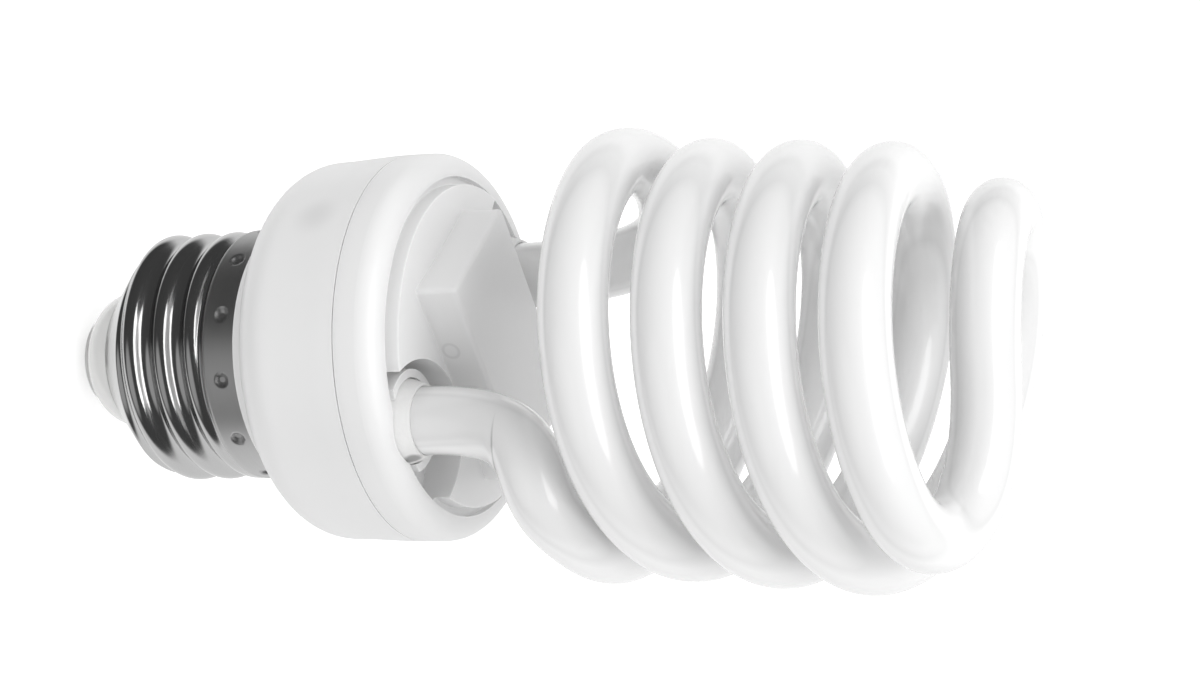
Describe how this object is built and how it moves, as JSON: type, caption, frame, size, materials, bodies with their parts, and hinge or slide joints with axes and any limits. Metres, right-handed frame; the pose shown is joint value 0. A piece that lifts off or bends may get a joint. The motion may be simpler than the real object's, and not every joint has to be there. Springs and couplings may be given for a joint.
{
  "type": "compact fluorescent bulb",
  "caption": "Compact fluorescent bulb: screw cap, flared white moulded housing with its ballast inside, and a white double-spiral glass tube on top.",
  "frame": {"origin": "middle of the flat tip of the centre contact", "axes": "+Z along the cap's axis from the cap to the glass, the front leg of the glass at -58.9 degrees from +X towards -Y, the spiral leaning about 5 degrees towards -33.7 degrees"},
  "size_m": [0.0473, 0.0462, 0.1053],
  "materials": {
    "cap_metal": "polished",
    "contact_metal": "satin",
    "cap_insulator": "gloss",
    "housing_white": "satin",
    "coated_glass": "gloss",
    "cement": "matt",
    "can_sleeve": "gloss",
    "ferrite": "matt",
    "bobbin_plastic": "matt",
    "copper_wire": "enamelled",
    "package_black": "matt",
    "film_dip": "gloss",
    "resistor_body": "satin",
    "board_laminate": "satin",
    "tinned_wire": "bright",
    "lead_insulation": "satin"
  },
  "bodies": {
    "root": {"screw_shell": "cap_metal", "centre_contact": "contact_metal", "cap_insulator": "cap_insulator", "lower_case": "housing_white", "tube_cover": "housing_white", "discharge_tube": "coated_glass", "front_leg_cement": "cement", "rear_leg_cement": "cement", "bulk_capacitor": "can_sleeve", "choke_core": "ferrite", "choke_bobbin": "bobbin_plastic", "choke_winding": "copper_wire", "drive_toroid": "ferrite", "toroid_windings": "copper_wire", "high_side_transistor": "package_black", "low_side_transistor": "package_black", "resonant_capacitor": "film_dip", "blocking_capacitor": "film_dip", "rectifier_diodes": "package_black", "start_resistor": "resistor_body", "trigger_diac": "resistor_body", "fusible_resistor": "resistor_body", "wire_posts": "tinned_wire", "filament_leads": "tinned_wire", "live_lead": "lead_insulation", "neutral_lead": "lead_insulation", "ballast_board": "board_laminate"}
  },
  "joints": []
}
